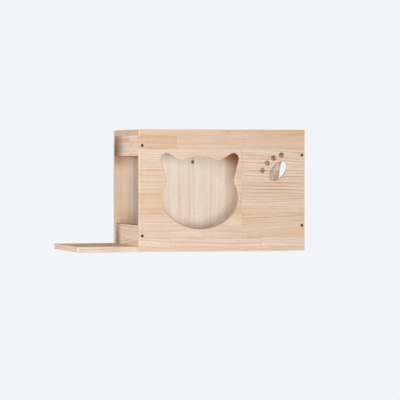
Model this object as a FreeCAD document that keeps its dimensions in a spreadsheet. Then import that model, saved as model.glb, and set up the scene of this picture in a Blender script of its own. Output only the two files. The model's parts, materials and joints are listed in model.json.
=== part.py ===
# Wall-mounted cat house of edge-glued pine board.
#
# A box hangs with its back on a wall. Its front panel has an entrance shaped like a cat's head
# and a paw cut through it. The left end is a doorway between two short rails, the right end is a
# wall with a round opening, and the floor runs on past the doorway as a step.
#
# Frame: millimetres, +X to the right seen from the front, +Y into the wall, +Z up.
# The origin lies on the wall, at the middle of the back of the box.

import FreeCAD
import Part
import Sketcher
import math
import os
import re
from collections import namedtuple

from FreeCAD import Placement, Rotation, Vector

# Driving sizes, in millimetres and degrees
SIZES = {
    # Box, boards and step
    "HouseWidth": 450,
    "HouseHeight": 320,
    "HouseDepth": 300,
    "BoardThick": 15,
    "StepLength": 165,
    "StepCorner": 4,
    "EdgeEase": 1.2,
    # Rails above and below the doorway at the left end
    "RailHeight": 54,
    # Round opening in the right end, halfway along it and raised a little above half its height
    "RoundDoorDia": 186,
    "RoundDoorRaise": 2,
    # Entrance shaped like a cat's head: half widths from its axis, heights from the panel's foot
    "HeadAxis": 165.5,
    "CheekHalf": 104.7,
    "CheekUp": 142,
    "CheekRadius": 70,
    "ChinRadius": 122,
    "NeckHalf": 93.3,
    "NeckRadius": 20,
    "EarHalf": 107.3,
    "EarTop": 258.6,
    "EarTipRadius": 16,
    "DipHalf": 49,
    "DipUp": 239.7,
    "DipRadius": 20,
    "ForeheadRadius": 108.5,
    # Paw: the pad's centre from the panel's top and from the middle of the stretch right of the
    # head, and the toes around the pad
    "PawShift": 15.6,
    "PawFromTop": 109,
    "PadLength": 62.6,
    "PadWidth": 37.6,
    "PadTilt": 46,
    "ToeDia": 14.5,
    "ToeTilt": 37.5,
    "InnerToeReach": 36.5,
    "InnerToeSpread": 17.5,
    "OuterToeReach": 43,
    "OuterToeSpread": 50.5,
    # Countersunk wood screws
    "ScrewDia": 4,
    "ScrewHeadDia": 8,
    "ScrewLength": 40,
    "ScrewTip": 6,
    "RecessSpan": 4.6,
    "RecessSlot": 1.1,
    "RecessDepth": 1.4,
    "ScrewClearance": 0.1,
    # Places of the screws along the edges that they enter
    "WallScrewInset": 67,
    "EndScrewInset": 60,
    "BackScrewInset": 75,
    # Dowels that join roof and floor to the front panel
    "DowelDia": 6,
    "DowelLength": 30,
    "DowelInPanel": 10,
    "DowelClearance": 0.1,
    "DowelInset": 75,
    # Holes for the screws that hold the house on the wall
    "WallHoleDia": 5,
    "WallHoleSink": 10,
    "WallHoleSpanX": 280,
    "WallHoleSpanZ": 150,
    "MiddleHoleFromLeft": 218,
}

# Name of the sheet, full angle of the countersinks, and what counts as the same place
SHEET = "Sizes"
SINK_ANGLE = 90
SLACK = 1e-4

# Lengths that several pieces share, worked out from the driving sizes
HALF_BOARD = "BoardThick / 2"
INNER_DEPTH = "HouseDepth - 2 * BoardThick"
INNER_HEIGHT = "HouseHeight - 2 * BoardThick"
LEFT = "-HouseWidth / 2"
INSIDE_FRONT = "BoardThick - HouseDepth"
UNDERSIDE = "-HouseHeight / 2"
SHANK_HOLE = "ScrewDia + 2 * ScrewClearance"
HEAD_HOLE = "ScrewHeadDia + 2 * ScrewClearance"
PILOT_DEPTH = "ScrewLength - BoardThick + ScrewClearance"
DOWEL_HOLE = "DowelDia + 2 * DowelClearance"
DOWEL_DEPTH_PANEL = "DowelInPanel + DowelClearance"
DOWEL_DEPTH_BOARD = "DowelLength - DowelInPanel + DowelClearance"

# Places of screws and dowels on the panels, from the left edge and the foot of the panel
LOW_EDGE = "BoardThick / 2"
HIGH_EDGE = "HouseHeight - BoardThick / 2"
WALL_COLUMN = "HouseWidth - BoardThick / 2"
SCREW_COLUMNS = ["BackScrewInset", "HouseWidth / 2", "HouseWidth - BackScrewInset"]
DOWEL_COLUMNS = ["DowelInset", "HouseWidth / 2", "HouseWidth - DowelInset"]
RAIL_END_PLACES = [
    (HALF_BOARD, "HouseHeight - BoardThick - RailHeight / 2"),
    (HALF_BOARD, "BoardThick + RailHeight / 2"),
]
WALL_EDGE_PLACES = [(WALL_COLUMN, "WallScrewInset"), (WALL_COLUMN, "HouseHeight - WallScrewInset")]
BACK_ROOF_PLACES = [(x, HIGH_EDGE) for x in SCREW_COLUMNS]
BACK_FLOOR_PLACES = [(x, LOW_EDGE) for x in SCREW_COLUMNS]

# Turns about X that point a screw's head to the front, the back, up and down
HEAD_FRONT = 90
HEAD_BACK = -90
HEAD_UP = 0
HEAD_DOWN = 180

doc = FreeCAD.newDocument("cat_house")


def fill_sheet():
    """Write the driving sizes into the sheet, one row each, with the size's name as alias."""
    sheet = doc.addObject("Spreadsheet::Sheet", SHEET)
    for row, (name, number) in enumerate(SIZES.items(), start=1):
        sheet.set("A%d" % row, name)
        sheet.set("B%d" % row, str(number))
        sheet.setAlias("B%d" % row, name)
    doc.recompute()


def bind(item, prop, formula):
    """Bind a property to a formula in which every capitalised word is a size of the sheet."""
    item.setExpression(prop, re.sub(r"([A-Z]\w+)", SHEET + r".\1", formula))


def constrain(sketch, kind, geometry, formula, start=1.0):
    """Add a dimension to a sketch, at a starting value, and bind it to a formula."""
    number = sketch.addConstraint(Sketcher.Constraint(kind, *geometry, start))
    bind(sketch, "Constraints[%d]" % number, formula)


def new_body(name, x, y, z):
    """Start a piece whose local origin is at one corner of the board."""
    body = doc.addObject("PartDesign::Body", name)
    body.Label = name
    for axis, formula in (("x", x), ("y", y), ("z", z)):
        bind(body, "Placement.Base." + axis, formula)
    return body


def new_sketch(body, name, plane, offset="0"):
    """Start a sketch on one of the body's own planes, moved along the plane's normal."""
    sketch = body.newObject("Sketcher::SketchObject", body.Name + "_" + name)
    support = [item for item in body.Origin.OriginFeatures if item.Role == plane + "_Plane"]
    sketch.AttachmentSupport = [(support[0], "")]
    sketch.MapMode = "FlatFace"
    bind(sketch, "AttachmentOffset.Base.z", offset)
    return sketch


def place_point(sketch, geometry, point, x, y):
    """Fix a point of a sketch at a distance from its origin, or on an axis where a formula is 0."""
    for kind, axis, formula in (("DistanceX", -2, x), ("DistanceY", -1, y)):
        if formula == "0":
            sketch.addConstraint(Sketcher.Constraint("PointOnObject", geometry, point, axis))
        else:
            constrain(sketch, kind, (-1, 1, geometry, point), formula)


def draw_outline(sketch, corners):
    """Draw a closed outline of straight lines through corners given as formulas."""
    count = len(corners)
    turns = [2 * math.pi * i / count for i in range(count + 1)]
    ring = [Vector(math.cos(turn), math.sin(turn), 0) for turn in turns]
    for start, end in zip(ring, ring[1:]):
        sketch.addGeometry(Part.LineSegment(start, end))
    for line, (x, y) in enumerate(corners):
        sketch.addConstraint(Sketcher.Constraint("Coincident", line, 2, (line + 1) % count, 1))
        place_point(sketch, line, 1, x, y)


def draw_rectangle(sketch, width, height):
    """Draw a rectangle with one corner at the sketch's origin."""
    draw_outline(sketch, [("0", "0"), (width, "0"), (width, height), ("0", height)])


def draw_circles(sketch, centres, diameter):
    """Draw equal circles at centres given as formulas."""
    for x, y in centres:
        circle = sketch.addGeometry(Part.Circle(Vector(1, 1, 0), Vector(0, 0, 1), 1))
        place_point(sketch, circle, 3, x, y)
        constrain(sketch, "Diameter", (circle,), diameter)


def pad(body, sketch, length):
    """Raise a sketch into a board."""
    feature = body.newObject("PartDesign::Pad", sketch.Name + "_pad")
    feature.Profile = sketch
    bind(feature, "Length", length)
    doc.recompute()


def cut(body, sketch, depth=None, reverse=False):
    """Cut a sketch into the body, right through it where no depth is given."""
    before = body.Shape.Volume
    feature = body.newObject("PartDesign::Pocket", sketch.Name + "_cut")
    feature.Profile = sketch
    feature.Reversed = reverse
    if depth is None:
        feature.Type = "ThroughAll"
    else:
        bind(feature, "Length", depth)
    doc.recompute()
    if not body.Shape.Volume < before:
        raise RuntimeError(feature.Name + " cuts nothing")


def drill(body, name, plane, centres, diameter, depth, offset="0", reverse=False):
    """Drill equal blind holes."""
    sketch = new_sketch(body, name, plane, offset)
    draw_circles(sketch, centres, diameter)
    cut(body, sketch, depth, reverse)


def sink_holes(body, name, plane, centres, offset="0", reverse=False, bore=SHANK_HOLE, head=HEAD_HOLE):
    """Drill countersunk holes right through a board, from the face that the sketch lies on."""
    before = body.Shape.Volume
    sketch = new_sketch(body, name, plane, offset)
    draw_circles(sketch, centres, bore)
    doc.recompute()
    hole = body.newObject("PartDesign::Hole", sketch.Name + "_hole")
    hole.Profile = sketch
    doc.recompute()
    hole.Reversed = reverse
    hole.DepthType = "ThroughAll"
    hole.HoleCutType = "Countersink"
    hole.HoleCutCountersinkAngle = SINK_ANGLE
    bind(hole, "Diameter", bore)
    bind(hole, "HoleCutDiameter", head)
    doc.recompute()
    if not body.Shape.Volume < before:
        raise RuntimeError(hole.Name + " cuts nothing")


def ease(body, name, radius, picks):
    """Round the edges of the body that picks accepts."""
    base = body.Tip
    names = ["Edge%d" % i for i, edge in enumerate(base.Shape.Edges, start=1) if picks(edge)]
    if not names:
        raise RuntimeError(name + " finds no edge")
    fillet = body.newObject("PartDesign::Fillet", body.Name + "_" + name)
    fillet.Base = (base, names)
    bind(fillet, "Radius", radius)
    doc.recompute()


def lies_at(edge, axis, *places):
    """Tell whether an edge lies in a plane where the axis has one of the given values."""
    low = getattr(edge.BoundBox, axis + "Min")
    high = getattr(edge.BoundBox, axis + "Max")
    return any(abs(low - place) < SLACK and abs(high - place) < SLACK for place in places)


# One round stretch of an outline: where it is drawn, which way the outline runs round it, and the
# sizes that fix it, with no formula where the neighbouring stretches already decide the place
Round = namedtuple("Round", "centre radius clockwise radius_size x_formula y_formula")


def head_rounds():
    """List the round stretches of the cat's head, clockwise from the brow."""
    size = SIZES
    axis = size["HeadAxis"]
    brow_drop = math.sqrt((size["ForeheadRadius"] + size["DipRadius"]) ** 2 - size["DipHalf"] ** 2)
    brow = Vector(axis, size["DipUp"] + size["DipRadius"] - brow_drop, 0)
    cheek_out = size["CheekHalf"] - size["CheekRadius"]
    chin_rise = math.sqrt((size["ChinRadius"] - size["CheekRadius"]) ** 2 - cheek_out ** 2)
    chin = Vector(axis, size["CheekUp"] + chin_rise, 0)
    neck_out = size["NeckHalf"] + size["NeckRadius"]
    neck_rise = math.sqrt((size["NeckRadius"] + size["CheekRadius"]) ** 2 - (neck_out - cheek_out) ** 2)
    ear_out = size["EarHalf"] - size["EarTipRadius"]

    def half(sign, side):
        dip = Vector(axis + side * size["DipHalf"], size["DipUp"] + size["DipRadius"], 0)
        ear = Vector(axis + side * ear_out, size["EarTop"] - size["EarTipRadius"], 0)
        neck = Vector(axis + side * neck_out, size["CheekUp"] + neck_rise, 0)
        cheek = Vector(axis + side * cheek_out, size["CheekUp"], 0)
        start = "HeadAxis " + sign
        return [
            Round(dip, size["DipRadius"], False, "DipRadius", start + " DipHalf", "DipUp + DipRadius"),
            Round(ear, size["EarTipRadius"], True, "EarTipRadius",
                  start + " (EarHalf - EarTipRadius)", "EarTop - EarTipRadius"),
            Round(neck, size["NeckRadius"], False, "NeckRadius", start + " (NeckHalf + NeckRadius)", None),
            Round(cheek, size["CheekRadius"], True, "CheekRadius",
                  start + " (CheekHalf - CheekRadius)", "CheekUp"),
        ]

    return ([Round(brow, size["ForeheadRadius"], True, "ForeheadRadius", None, None)] + half("+", 1)
            + [Round(chin, size["ChinRadius"], True, "ChinRadius", None, None)] + half("-", -1)[::-1])


def joint_points(first, second):
    """Give the points where the outline leaves one round stretch and meets the next."""
    gap = second.centre - first.centre
    if first.clockwise == second.clockwise:
        larger, smaller = sorted((first, second), key=lambda item: -item.radius)
        touch = larger.centre + (smaller.centre - larger.centre).normalize() * larger.radius
        return touch, touch
    turn = math.acos(min(1, (first.radius + second.radius) / gap.Length))
    heading = math.atan2(gap.y, gap.x) + (turn if first.clockwise else -turn)
    ray = Vector(math.cos(heading), math.sin(heading), 0)
    return first.centre + ray * first.radius, second.centre - ray * second.radius


def draw_rounds(sketch, rounds):
    """Draw a closed clockwise outline of round stretches, joined by straight ones where they part."""
    count = len(rounds)
    joints = [joint_points(rounds[i], rounds[(i + 1) % count]) for i in range(count)]
    chain = []
    for i, item in enumerate(rounds):
        arrive = joints[i - 1][1]
        leave, next_arrive = joints[i]
        ends = (leave, arrive) if item.clockwise else (arrive, leave)
        angles = [math.atan2(end.y - item.centre.y, end.x - item.centre.x) for end in ends]
        if angles[1] < angles[0]:
            angles[1] += 2 * math.pi
        circle = Part.Circle(item.centre, Vector(0, 0, 1), item.radius)
        stretch = sketch.addGeometry(Part.ArcOfCircle(circle, *angles))
        chain.append((stretch, 2, 1) if item.clockwise else (stretch, 1, 2))
        constrain(sketch, "Radius", (stretch,), item.radius_size, item.radius)
        if item.x_formula:
            constrain(sketch, "DistanceX", (-1, 1, stretch, 3), item.x_formula, item.centre.x)
        if item.y_formula:
            constrain(sketch, "DistanceY", (-1, 1, stretch, 3), item.y_formula, item.centre.y)
        if leave.distanceToPoint(next_arrive) > SLACK:
            line = sketch.addGeometry(Part.LineSegment(leave, next_arrive))
            chain.append((line, 1, 2))
    for (stretch, _, end), (following, start, _) in zip(chain, chain[1:] + chain[:1]):
        sketch.addConstraint(Sketcher.Constraint("Tangent", stretch, end, following, start))


def make_front_panel():
    """The front, with the cat's head, the paw, four screw holes and dowel holes in its back."""
    body = new_body("front_panel", LEFT, INSIDE_FRONT, UNDERSIDE)
    outline = new_sketch(body, "outline", "XZ")
    draw_rectangle(outline, "HouseWidth", "HouseHeight")
    pad(body, outline, "BoardThick")
    head = new_sketch(body, "head", "XZ", "BoardThick")
    draw_rounds(head, head_rounds())
    cut(body, head)
    front = -SIZES["BoardThick"]
    sides = (0, SIZES["HouseWidth"])
    levels = (0, SIZES["HouseHeight"])

    def on_head_back(edge):
        return lies_at(edge, "Y", 0) and not (lies_at(edge, "X", *sides) or lies_at(edge, "Z", *levels))

    ease(body, "front_edges", "EdgeEase", lambda edge: lies_at(edge, "Y", front))
    ease(body, "head_back_rim", "EdgeEase", on_head_back)
    cut_pad(body)
    cut_toes(body)
    sink_holes(body, "screws", "XZ", RAIL_END_PLACES + WALL_EDGE_PLACES, "BoardThick")
    dowels = [(x, z) for x in DOWEL_COLUMNS for z in (LOW_EDGE, HIGH_EDGE)]
    drill(body, "dowels", "XZ", dowels, DOWEL_HOLE, DOWEL_DEPTH_PANEL, reverse=True)
    return body


def paw_sketch(body, name, tilt):
    """Start a sketch on the front face whose own origin is the middle of the paw, turned by the tilt."""
    sketch = new_sketch(body, name, "XZ", "BoardThick")
    sketch.AttachmentOffset = Placement(Vector(0, 0, 0), Rotation(Vector(0, 0, 1), SIZES[tilt]))
    bind(sketch, "AttachmentOffset.Base.x", "(HeadAxis + EarHalf + HouseWidth) / 2 + PawShift")
    bind(sketch, "AttachmentOffset.Base.y", "HouseHeight - PawFromTop")
    bind(sketch, "AttachmentOffset.Rotation.Angle", tilt)
    return sketch


def cut_pad(body):
    """Cut the paw's oval pad."""
    sketch = paw_sketch(body, "pad", "PadTilt")
    long_end = Vector(SIZES["PadLength"] / 2, 0, 0)
    short_end = Vector(0, SIZES["PadWidth"] / 2, 0)
    oval = sketch.addGeometry(Part.Ellipse(long_end, short_end, Vector(0, 0, 0)))
    sketch.exposeInternalGeometry(oval)
    long_axis = oval + 1
    short_axis = oval + 2
    sketch.addConstraint(Sketcher.Constraint("Coincident", oval, 3, -1, 1))
    sketch.addConstraint(Sketcher.Constraint("Horizontal", long_axis))
    constrain(sketch, "Distance", (long_axis,), "PadLength", SIZES["PadLength"])
    constrain(sketch, "Distance", (short_axis,), "PadWidth", SIZES["PadWidth"])
    cut(body, sketch)


def cut_toes(body):
    """Cut the paw's four toes, two inner and two outer, on both sides of the paw's own axis."""
    sketch = paw_sketch(body, "toes", "ToeTilt")
    for reach, spread in (("InnerToeReach", "InnerToeSpread"), ("OuterToeReach", "OuterToeSpread")):
        out = "%s * sin(%s)" % (reach, spread)
        up = "%s * cos(%s)" % (reach, spread)
        draw_circles(sketch, [(out, up), ("-" + out, up)], "ToeDia")
    cut(body, sketch)


def make_back_panel():
    """The back, with screw holes from behind and countersunk holes for fixing it to the wall."""
    body = new_body("back_panel", LEFT, "0", UNDERSIDE)
    outline = new_sketch(body, "outline", "XZ")
    draw_rectangle(outline, "HouseWidth", "HouseHeight")
    pad(body, outline, "BoardThick")
    places = BACK_ROOF_PLACES + BACK_FLOOR_PLACES + RAIL_END_PLACES + WALL_EDGE_PLACES
    sink_holes(body, "screws", "XZ", places, reverse=True)
    columns = ("HouseWidth / 2 - WallHoleSpanX / 2", "HouseWidth / 2 + WallHoleSpanX / 2")
    low = "HouseHeight / 2 - WallHoleSpanZ / 2"
    high = "HouseHeight / 2 + WallHoleSpanZ / 2"
    wall_holes = [(x, z) for x in columns for z in (low, high)] + [("MiddleHoleFromLeft", high)]
    sink_holes(body, "wall_holes", "XZ", wall_holes, "BoardThick", bore="WallHoleDia", head="WallHoleSink")
    return body


def end_places(column, left="0", front="0"):
    """Screw places over a rail or the right wall, on a board where the box starts at left and front."""
    rows = ("EndScrewInset", INNER_DEPTH + " - EndScrewInset")
    return [("%s + %s" % (left, column), "%s + %s" % (front, y)) for y in rows]


def edge_places(columns, left="0"):
    """Places in the middle of a level board's edge."""
    return [("%s + %s" % (left, x), HALF_BOARD) for x in columns]


def make_roof_board():
    """The roof, between front and back, lying on the top rail and the right wall."""
    body = new_body("roof_board", LEFT, INSIDE_FRONT, "HouseHeight / 2 - BoardThick")
    outline = new_sketch(body, "outline", "XY")
    draw_rectangle(outline, "HouseWidth", INNER_DEPTH)
    pad(body, outline, "BoardThick")
    top = SIZES["BoardThick"]
    ends = (0, SIZES["HouseWidth"])
    ease(body, "end_edges", "EdgeEase", lambda edge: lies_at(edge, "Z", top) and lies_at(edge, "X", *ends))
    sink_holes(body, "screws", "XY", end_places(HALF_BOARD) + end_places(WALL_COLUMN), "BoardThick")
    drill(body, "dowels", "XZ", edge_places(DOWEL_COLUMNS), DOWEL_HOLE, DOWEL_DEPTH_BOARD)
    back = "-(%s)" % INNER_DEPTH
    drill(body, "pilots", "XZ", edge_places(SCREW_COLUMNS), SHANK_HOLE, PILOT_DEPTH, back, reverse=True)
    return body


def make_floor_board():
    """The floor, notched for front and back panel, and its step past the doorway."""
    body = new_body("floor_board", LEFT + " - StepLength", "-HouseDepth", UNDERSIDE)
    outline = new_sketch(body, "outline", "XY")
    far_end = "StepLength + HouseWidth"
    back_notch = "HouseDepth - BoardThick"
    draw_outline(outline, [
        ("0", "0"),
        ("StepLength", "0"),
        ("StepLength", "BoardThick"),
        (far_end, "BoardThick"),
        (far_end, back_notch),
        ("StepLength", back_notch),
        ("StepLength", "HouseDepth"),
        ("0", "HouseDepth"),
    ])
    pad(body, outline, "BoardThick")
    sides = (0, SIZES["HouseDepth"])
    faces = (0, SIZES["BoardThick"])

    def on_step_corner(edge):
        return lies_at(edge, "X", 0) and lies_at(edge, "Y", *sides)

    def on_step_rim(edge):
        return lies_at(edge, "Z", *faces) and edge.CenterOfMass.x < SIZES["StepLength"] - SLACK

    ease(body, "step_corners", "StepCorner", on_step_corner)
    ease(body, "step_edges", "EdgeEase", on_step_rim)
    ends = [end_places(column, "StepLength", "BoardThick") for column in (HALF_BOARD, WALL_COLUMN)]
    sink_holes(body, "screws", "XY", ends[0] + ends[1], reverse=True)
    dowels = edge_places(DOWEL_COLUMNS, "StepLength")
    drill(body, "dowels", "XZ", dowels, DOWEL_HOLE, DOWEL_DEPTH_BOARD, "-BoardThick")
    pilots = edge_places(SCREW_COLUMNS, "StepLength")
    drill(body, "pilots", "XZ", pilots, SHANK_HOLE, PILOT_DEPTH, "-(%s)" % back_notch, reverse=True)
    return body


def make_right_wall():
    """The right end wall, with its round opening and pilot holes in all four edges."""
    body = new_body("right_wall", "HouseWidth / 2 - BoardThick", INSIDE_FRONT, UNDERSIDE + " + BoardThick")
    outline = new_sketch(body, "outline", "YZ")
    draw_rectangle(outline, INNER_DEPTH, INNER_HEIGHT)
    pad(body, outline, "BoardThick")
    opening = new_sketch(body, "opening", "YZ", "BoardThick")
    centre = ("HouseDepth / 2 - BoardThick", "HouseHeight / 2 + RoundDoorRaise - BoardThick")
    draw_circles(opening, [centre], "RoundDoorDia")
    cut(body, opening)
    ease(body, "opening_rims", "EdgeEase", lambda edge: isinstance(edge.Curve, Part.Circle))
    upright = [(HALF_BOARD, z + " - BoardThick") for _, z in WALL_EDGE_PLACES]
    level = end_places(HALF_BOARD)
    back = "-(%s)" % INNER_DEPTH
    drill(body, "front_pilots", "XZ", upright, SHANK_HOLE, PILOT_DEPTH)
    drill(body, "back_pilots", "XZ", upright, SHANK_HOLE, PILOT_DEPTH, back, reverse=True)
    drill(body, "roof_pilots", "XY", level, SHANK_HOLE, PILOT_DEPTH, INNER_HEIGHT)
    drill(body, "floor_pilots", "XY", level, SHANK_HOLE, PILOT_DEPTH, reverse=True)
    return body


def make_rail(name, foot, hangs):
    """A rail of the doorway between front and back, under the roof where it hangs, or on the floor."""
    body = new_body(name, LEFT, INSIDE_FRONT, foot)
    outline = new_sketch(body, "outline", "YZ")
    draw_rectangle(outline, INNER_DEPTH, "RailHeight")
    pad(body, outline, "BoardThick")
    free_side = 0 if hangs else SIZES["RailHeight"]
    sides = (0, SIZES["BoardThick"])
    seat = "RailHeight" if hangs else "0"
    back = "-(%s)" % INNER_DEPTH
    middle = [(HALF_BOARD, "RailHeight / 2")]

    def on_free_side(edge):
        return lies_at(edge, "Z", free_side) and lies_at(edge, "X", *sides)

    ease(body, "doorway_edges", "EdgeEase", on_free_side)
    drill(body, "front_pilot", "XZ", middle, SHANK_HOLE, PILOT_DEPTH)
    drill(body, "back_pilot", "XZ", middle, SHANK_HOLE, PILOT_DEPTH, back, reverse=True)
    ends = end_places(HALF_BOARD)
    drill(body, "seat_pilots", "XY", ends, SHANK_HOLE, PILOT_DEPTH, seat, reverse=not hangs)
    return body


def make_screw():
    """One countersunk wood screw with a cross recess, tip at the local origin and head up."""
    body = doc.addObject("PartDesign::Body", "screw")
    profile = new_sketch(body, "profile", "XZ")
    shank = "ScrewDia / 2"
    rim = "ScrewHeadDia / 2"
    neck = "ScrewLength - ScrewHeadDia / 2 + ScrewDia / 2"
    top = "ScrewLength"
    draw_outline(profile, [("0", "0"), (shank, "ScrewTip"), (shank, neck), (rim, top), ("0", top)])
    turned = body.newObject("PartDesign::Revolution", "screw_turned")
    turned.Profile = profile
    turned.ReferenceAxis = (profile, ["V_Axis"])
    turned.Angle = 360
    doc.recompute()
    cross = (("slot", "RecessSlot", "RecessSpan"), ("cross_slot", "RecessSpan", "RecessSlot"))
    for name, width, length in cross:
        slot = new_sketch(body, name, "XY", "ScrewLength")
        left = "-%s / 2" % width
        right = "%s / 2" % width
        near = "-%s / 2" % length
        far = "%s / 2" % length
        draw_outline(slot, [(left, near), (right, near), (right, far), (left, far)])
        cut(body, slot, "RecessDepth")
    return body


def make_dowel():
    """One beech dowel, its foot at the local origin."""
    body = doc.addObject("PartDesign::Body", "dowel")
    outline = new_sketch(body, "outline", "XY")
    draw_circles(outline, [("0", "0")], "DowelDia")
    pad(body, outline, "DowelLength")
    return body


def make_group(name, piece, places, tilt):
    """Lay out copies of one piece as separate solids of one node, all turned about X by the tilt."""
    copies = []
    for number, place in enumerate(places, start=1):
        copy = doc.addObject("App::Link", "%s_%d" % (name, number))
        copy.LinkedObject = piece
        copy.Placement = Placement(Vector(0, 0, 0), Rotation(Vector(1, 0, 0), tilt))
        for axis, formula in zip("xyz", place):
            bind(copy, "Placement.Base." + axis, formula)
        copies.append(copy)
    group = doc.addObject("Part::Compound", name)
    group.Label = name
    group.Links = copies
    return group


def in_house(x, y, z):
    """Turn a place given from the box's left, inside front and underside into one in the frame."""
    return LEFT + " + " + x, INSIDE_FRONT + " + " + y, UNDERSIDE + " + " + z


def make_screw_groups():
    """The screws, one node for each pair of boards that they join."""
    screw = make_screw()
    front_tip = "ScrewLength - BoardThick"
    back_tip = "HouseDepth - BoardThick - ScrewLength"
    roof_tip = "HouseHeight - ScrewLength"
    floor_tip = "ScrewLength"

    def panel_screws(name, places, tip, tilt):
        return make_group(name, screw, [in_house(x, tip, z) for x, z in places], tilt)

    def board_screws(name, places, tip, tilt):
        return make_group(name, screw, [in_house(x, y, tip) for x, y in places], tilt)

    rail_ends = end_places(HALF_BOARD)
    wall_ends = end_places(WALL_COLUMN)
    return [
        panel_screws("front_rail_screws", RAIL_END_PLACES, front_tip, HEAD_FRONT),
        panel_screws("front_wall_screws", WALL_EDGE_PLACES, front_tip, HEAD_FRONT),
        panel_screws("back_roof_screws", BACK_ROOF_PLACES, back_tip, HEAD_BACK),
        panel_screws("back_floor_screws", BACK_FLOOR_PLACES, back_tip, HEAD_BACK),
        panel_screws("back_rail_screws", RAIL_END_PLACES, back_tip, HEAD_BACK),
        panel_screws("back_wall_screws", WALL_EDGE_PLACES, back_tip, HEAD_BACK),
        board_screws("roof_rail_screws", rail_ends, roof_tip, HEAD_UP),
        board_screws("roof_wall_screws", wall_ends, roof_tip, HEAD_UP),
        board_screws("floor_rail_screws", rail_ends, floor_tip, HEAD_DOWN),
        board_screws("floor_wall_screws", wall_ends, floor_tip, HEAD_DOWN),
    ]


def make_dowel_groups():
    """The dowels between the front panel and the roof and floor behind it."""
    dowel = make_dowel()
    foot = "DowelLength - DowelInPanel"
    high = [in_house(x, foot, HIGH_EDGE) for x in DOWEL_COLUMNS]
    low = [in_house(x, foot, LOW_EDGE) for x in DOWEL_COLUMNS]
    return [
        make_group("roof_dowels", dowel, high, HEAD_FRONT),
        make_group("floor_dowels", dowel, low, HEAD_FRONT),
    ]


def check_and_write(nodes):
    """Stop on any failed object or bad shape, then write one file for each node."""
    doc.recompute()
    failed = [item.Name for item in doc.Objects if {"Invalid", "Error"} & set(item.State)]
    if failed:
        raise RuntimeError("failed objects: " + ", ".join(failed))
    for node in nodes:
        if node.Shape.isNull() or not node.Shape.isValid():
            raise RuntimeError("bad shape: " + node.Label)
    os.makedirs("parts", exist_ok=True)
    for node in nodes:
        node.Shape.exportStep("parts/%s.step" % node.Label)
        print(node.Label, len(node.Shape.Solids), "solids", round(node.Shape.Volume), "mm3")


def main():
    fill_sheet()
    boards = [
        make_front_panel(),
        make_back_panel(),
        make_roof_board(),
        make_floor_board(),
        make_right_wall(),
        make_rail("top_rail", "HouseHeight / 2 - BoardThick - RailHeight", hangs=True),
        make_rail("bottom_rail", UNDERSIDE + " + BoardThick", hangs=False),
    ]
    check_and_write(boards + make_screw_groups() + make_dowel_groups())


main()
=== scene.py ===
# Looks of a wall-mounted cat house: boards of finger-jointed pine, dark screws and beech dowels.
#
# Every board keeps its shape from the frame. It gets a pine finish of its own, laid out in glued
# strips along its grain. Lengths in the frame are metres, and finishes are laid out in millimetres.

import json
from collections import namedtuple

import bpy
from bpy.props import FloatProperty, FloatVectorProperty, PointerProperty
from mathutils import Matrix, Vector


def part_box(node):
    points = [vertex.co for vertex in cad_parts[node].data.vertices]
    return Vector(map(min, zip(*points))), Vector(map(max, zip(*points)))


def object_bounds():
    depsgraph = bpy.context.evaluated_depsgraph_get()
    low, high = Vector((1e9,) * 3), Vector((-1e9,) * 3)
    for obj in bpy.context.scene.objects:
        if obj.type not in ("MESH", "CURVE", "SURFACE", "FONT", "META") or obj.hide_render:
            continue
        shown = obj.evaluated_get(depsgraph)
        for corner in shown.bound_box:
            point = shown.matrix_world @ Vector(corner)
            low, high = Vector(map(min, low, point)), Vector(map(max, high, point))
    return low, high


bl_info = {
    "name": "Cat house finishes",
    "version": (1, 0, 0),
    "blender": (4, 5, 0),
    "location": "View3D > Sidebar > Cat house",
    "description": "Pine, screw and dowel finishes for a wall-mounted cat house, and its stage",
    "category": "Material",
}

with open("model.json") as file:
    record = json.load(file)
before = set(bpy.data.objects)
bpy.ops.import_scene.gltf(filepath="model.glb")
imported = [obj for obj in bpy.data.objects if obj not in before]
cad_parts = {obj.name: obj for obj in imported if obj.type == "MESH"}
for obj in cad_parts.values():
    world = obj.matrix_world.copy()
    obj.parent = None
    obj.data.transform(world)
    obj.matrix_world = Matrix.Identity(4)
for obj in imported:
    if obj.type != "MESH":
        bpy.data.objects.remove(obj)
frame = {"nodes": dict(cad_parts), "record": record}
CAD_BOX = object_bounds()
MM = 1000.0

# Groups of fasteners, each of one finish
SCREW_NODES = [name for name in frame["nodes"] if name.endswith("_screws")]
DOWEL_NODES = [name for name in frame["nodes"] if name.endswith("_dowels")]

# Where the camera stands and looks, in metres, and where every lamp is aimed: the house's middle
CAMERA_EYE = Vector((-1.81987, -6.90922, 0.07343))
CAMERA_TARGET = Vector((-0.021888, -0.150, -0.027046))
LAMP_TARGET = Vector((0.0, -0.15, 0.0))

# Where a strip's pith may lie, in millimetres beside the board's corner and below its face, and the
# least and most that the middling ring width is multiplied by
PITH_SIDE = (-90.0, 140.0)
PITH_DEEP = (18.0, 95.0)
RING_SPREAD = (0.6, 1.6)

# How far the pith wanders to the side and over what length, in millimetres, how steeply it leans,
# and how far apart two neighbouring strips are in the noise
WANDER = 16.0
WANDER_LENGTH = 260.0
LEAN = 0.05
STRIP_APART = 3.7

# Length and width of the waves in the rings, of soft streaks and of resin flecks, and how far a wave
# shifts a ring, in millimetres. A real fleck is a hairline, and is drawn this wide to show. Clouds
# of colour lie on the waves' places times CLOUD_SCALE, and a fibre is FIBRE_DRAWN times longer than
# wide.
WAVE_SIZE = (70.0, 14.0)
WAVE_HEIGHT = 2.2
STREAK_SIZE = (220.0, 4.5)
FLECK_SIZE = (9.0, 3.2)
CLOUD_SCALE = (0.35, 0.5, 1.0)
FIBRE_DRAWN = 45

# Noise runs from 0 to 1, but most of it lies in NOISE_SPAN, and only its upper part makes streaks
NOISE_SPAN = (0.3, 0.7)
STREAK_SPAN = (0.46, 0.74)

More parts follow.
